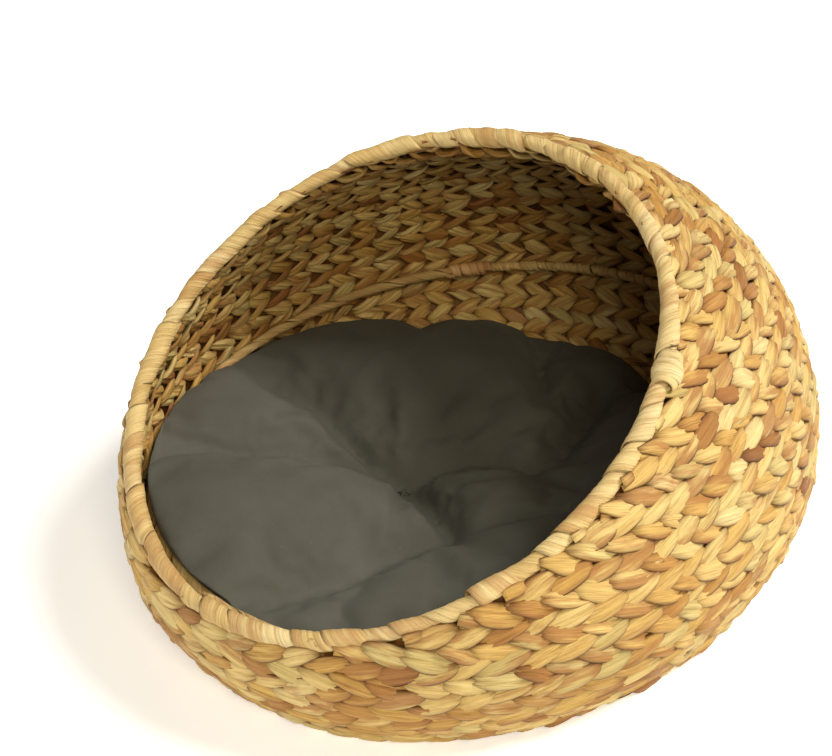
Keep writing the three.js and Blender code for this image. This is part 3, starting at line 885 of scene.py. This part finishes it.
def cushion_shell():
    """The cushion's closed surface before it is puffed up, as rings from its middle out to the seam."""
    shares = np.concatenate([np.linspace(0.03, 0.94, 34), [0.97, 0.99, 1.0]])
    ring, angle = np.meshgrid(shares, circle(120), indexing="ij")
    x = CUSHION_MIDDLE[0] + CUSHION_HALF_WIDTH * ring * np.cos(angle)
    y = CUSHION_MIDDLE[1] + CUSHION_HALF_DEPTH * ring * np.sin(angle)
    seam = seam_height(x, y)
    roundness = np.sqrt(np.maximum(1 - ring ** 5, 0))
    under = seam - (seam - CUSHION_FLOOR) * roundness
    top = np.maximum(cushion_heights(x, y), under + 8 * roundness)
    crown = cushion_heights(*CUSHION_MIDDLE[:, None])[0]
    points = [[*CUSHION_MIDDLE, crown], [*CUSHION_MIDDLE, CUSHION_FLOOR]]
    points += np.stack([x, y, top], -1).reshape(-1, 3).tolist()
    points += np.stack([x, y, under], -1)[:-1].reshape(-1, 3).tolist()
    rows, sides = x.shape
    upper = 2 + np.arange(rows * sides).reshape(rows, sides)
    lower = 2 + rows * sides + np.arange((rows - 1) * sides).reshape(rows - 1, sides)
    upper, lower = upper.tolist(), lower.tolist() + upper[-1:].tolist()
    faces = []
    for k in range(sides):
        j = (k + 1) % sides
        faces += [[0, upper[0][k], upper[0][j]], [1, lower[0][j], lower[0][k]]]
        for i in range(rows - 1):
            faces += [[upper[i][k], upper[i + 1][k], upper[i + 1][j], upper[i][j]],
                [lower[i][j], lower[i + 1][j], lower[i + 1][k], lower[i][k]]]
    mesh = bpy.data.meshes.new("cushion_cover")
    mesh.from_pydata((np.array(points) * MM).tolist(), [], faces)
    return mesh


def points_of(mesh):
    flat = np.zeros(len(mesh.vertices) * 3)
    mesh.vertices.foreach_get("co", flat)
    return flat.reshape(-1, 3) / MM


def apply_modifiers(thing):
    depsgraph = bpy.context.evaluated_depsgraph_get()
    final = bpy.data.meshes.new_from_object(thing.evaluated_get(depsgraph))
    thing.modifiers.clear()
    thing.data = final


def puff(cushion):
    """Blows the cover up with a cloth simulation that holds the folds, the tuft and the underside."""
    before = points_of(cushion.data)
    x, y, z = before.T
    is_upper = z > seam_height(x, y) - 6
    held = np.where(is_upper, np.clip((fold_depth(x, y) - HELD_DEPTH) / HELD_OVER, 0, 1), 1.0)
    held = np.where((from_tuft(x, y) < 12) & is_upper, 1.0, held)
    group = cushion.vertex_groups.new(name="held")
    for index in np.nonzero(held > 0)[0]:
        group.add([int(index)], float(held[index]), "REPLACE")
    cloth = cushion.modifiers.new("cloth", "CLOTH")
    settings = cloth.settings
    settings.quality = 6
    settings.mass = 0.3
    settings.tension_stiffness = settings.compression_stiffness = 18
    settings.shear_stiffness = 8
    settings.bending_stiffness = 0.6
    settings.use_pressure = True
    settings.uniform_pressure_force = 4
    settings.shrink_min = -0.06
    settings.effector_weights.gravity = 0
    settings.vertex_group_mass = "held"
    cloth.collision_settings.use_collision = False
    scene = bpy.context.scene
    scene.frame_start, scene.frame_end = 1, PUFF_FRAMES
    cloth.point_cache.frame_start, cloth.point_cache.frame_end = 1, PUFF_FRAMES
    for number in range(1, PUFF_FRAMES + 1):
        scene.frame_set(number)
    apply_modifiers(cushion)
    scene.frame_set(1)
    after = points_of(cushion.data)
    moved = after - before
    size = np.linalg.norm(moved, axis=1, keepdims=True)
    after = before + moved * np.minimum(1, PUFF_CAP / np.maximum(size, 1e-6))
    cushion.data.vertices.foreach_set("co", (after * MM).ravel())


def keep_in_bowl(mesh):
    """Presses the cushion flat where it would pass into the wall, the waist hoop or the base."""
    points = points_of(mesh)
    height = np.clip(points[:, 2], 0, 200)
    limit = core_radius(height) + OUTER_STAND - WALL_THICKNESS - CLEARANCE
    limit -= WAIST_STAND * np.exp(-((height - WAIST_HEIGHT) / WAIST_REACH) ** 2)
    reach = np.hypot(points[:, 0], points[:, 1] / DEPTH_RATIO)
    points[:, :2] *= np.minimum(1, limit / np.maximum(reach, 1e-6))[:, None]
    points[:, 2] = np.maximum(points[:, 2], CUSHION_FLOOR - 0.5)
    mesh.vertices.foreach_set("co", (points * MM).ravel())
    mesh.update()


def make_cushion(material):
    cushion = new_object("cushion_cover", cushion_shell(), material)
    remesh = cushion.modifiers.new("remesh", "REMESH")
    remesh.mode, remesh.voxel_size = "VOXEL", VOXEL * MM
    apply_modifiers(cushion)
    puff(cushion)
    softer = cushion.modifiers.new("softer", "SMOOTH")
    softer.factor, softer.iterations = 0.5, 2
    apply_modifiers(cushion)
    keep_in_bowl(cushion.data)
    rounder = cushion.modifiers.new("rounder", "SUBSURF")
    rounder.levels = rounder.render_levels = 1
    apply_modifiers(cushion)
    mesh = cushion.data
    if not mesh.materials:
        mesh.materials.append(material)
    mesh.shade_smooth()
    store(mesh, "cloth_at", points_of(mesh) * MM)
    return cushion


def stitch_tuft(cushion, material):
    """Two crossed stitches of thread at the bottom of the dimple."""
    x, y, z = points_of(cushion.data).T
    in_dimple = (from_tuft(x, y) < 5) & (z > CUSHION_FLOOR + 8)
    centre = np.array([*TUFT_AT, z[in_dimple].max()])
    fibres = Fibres()
    rng = np.random.default_rng(53)
    turn = circle(8)
    share = np.linspace(-1, 1, 9)
    for heading in (0.5, 1.9):
        direction = np.array([math.cos(heading), math.sin(heading), 0.0])
        side = np.cross(UPWARD, direction)
        path = centre + direction * (5 * share)[:, None] + UPWARD * (1.2 - 2.6 * share ** 2)[:, None]
        out = np.cross(unit(np.gradient(path, axis=0)), side)
        rings = path[:, None] + 0.8 * (side * np.cos(turn)[:, None] + out[:, None] * np.sin(turn)[:, None])
        fibres.tube(rings, False, 0.5, 0.5, 5 * share, turn, rng, flip=True)
    return fibres.object("tuft_stitch", material)


# ---- Putting it together

def place_piece(piece, body, slot, *nodes):
    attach(piece, body)
    if nodes:
        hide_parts(*nodes)
    return piece


def build_basket():
    woven, trim, binding = weave_fibre(), trim_fibre(), binding_fibre()
    for piece, replaced in weave_wall(woven):
        place_piece(piece, "basket", "fibre_weave", replaced)
    for piece in weave_base(woven):
        place_piece(piece, "basket", "fibre_weave", "base_weave")
    for name, seed, material, lay, slot, *replaced in (
        ("upright_stakes", 5, woven, set_stakes, "fibre_weave"),
        ("rim_strip", 31, trim, wrap_rim, "fibre_wrapping", "rim_wrapping"),
        ("rim_knot_wraps", 37, trim, tie_knot, "fibre_wrapping", "rim_knot"),
        ("frayed_ends", 41, binding, fray_ends, "fibre_wrapping"),
        ("waist_strip", 43, trim, wrap_waist, "fibre_wrapping", "waist_wrapping"),
        ("waist_binding_strip", 47, binding, bind_waist, "fibre_wrapping", "waist_binding"),
    ):
        place_piece(fibre_piece(name, seed, material, lay), "basket", slot, *replaced)


def build_cushion():
    cloth = cushion_cloth()
    cushion = place_piece(make_cushion(cloth), "cushion", "cushion_cloth",
        "cushion_cover_top", "cushion_cover_bottom", "cushion_filling", "tuft_thread")
    stitch = place_piece(stitch_tuft(cushion, thread()), "cushion", "tuft_thread", "tuft_thread")
    for piece in (cushion, stitch):
        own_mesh(piece)


def finish_wires():
    paint = wire_paint()
    for name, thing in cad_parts.items():
        if "wire" in name or "hoop" in name or name.startswith("rib"):
            thing.data.materials.clear()
            thing.data.materials.append(paint)


# ---- The studio

FLOOR_REACH = 30.0
LIT_POINT = (0, 0, 0.1)  # what the lights face
LIGHTS = (  # name, place, size, power and colour
    ("key", (3.75, 2.65, 5.65), 3.0, 640, (1.0, 0.97, 0.91)),
    ("right", (1.45, -1.25, 1.6), 0.8, 29, (1.0, 0.90, 0.68)),
    ("front", (-1.6, -1.6, 0.55), 1.0, 18, (1.0, 0.94, 0.84)),
)


def stage_floor():
    mesh = bpy.data.meshes.new("floor")
    corners = [(x * FLOOR_REACH, y * FLOOR_REACH, 0) for x, y in ((-1, -1), (1, -1), (1, 1), (-1, 1))]
    mesh.from_pydata(corners, [], [(0, 1, 2, 3)])
    material, tree, shader = shader_tree("floor_paint")
    feed(tree, shader, {
        "Base Color": (0.93, 0.93, 0.93), "Roughness": 0.9, "Specular IOR Level": 0.1,
        "Emission Color": (1, 1, 1), "Emission Strength": 0.36})
    new_object("floor", mesh, material)


def area_light(name, place, size, power, colour):
    lamp = bpy.data.lights.new(name, "AREA")
    lamp.shape, lamp.size, lamp.energy, lamp.color = "DISK", size, power, colour
    made = new_object(name, lamp)
    made.location = place
    made.rotation_euler = (Vector(LIT_POINT) - Vector(place)).to_track_quat("-Z", "Y").to_euler()


def set_studio():
    scene = bpy.context.scene
    world = bpy.data.worlds.new("studio")
    world.use_nodes = True
    tree = world.node_tree
    feed(tree, tree.nodes["Background"], {"Color": (1.0, 0.99, 0.97), "Strength": 0.15})
    scene.world = world
    scene.view_settings.view_transform = "Standard"
    for light in LIGHTS:
        area_light(*light)


def set_camera():
    """The camera stands to the right of the mouth and looks down into it."""
    camera = bpy.data.cameras.new("camera")
    camera.lens, camera.sensor_width, camera.sensor_fit = 73.8, 36.0, "HORIZONTAL"
    camera.clip_start, camera.clip_end = 0.05, 100
    right = Vector((0.786111, 0.612485, -0.083013))
    up = Vector((-0.282409, 0.475395, 0.833213))
    back = Vector((0.549795, -0.631555, 0.546685))
    turned = Matrix((right, up, back)).transposed().to_4x4()
    turned.translation = Vector((0.66127, -0.81607, 0.81777))
    made = new_object("camera", camera)
    made.matrix_world = turned
    bpy.context.scene.camera = made


set_camera()
set_studio()
stage_floor()
build_basket()
build_cushion()
finish_wires()
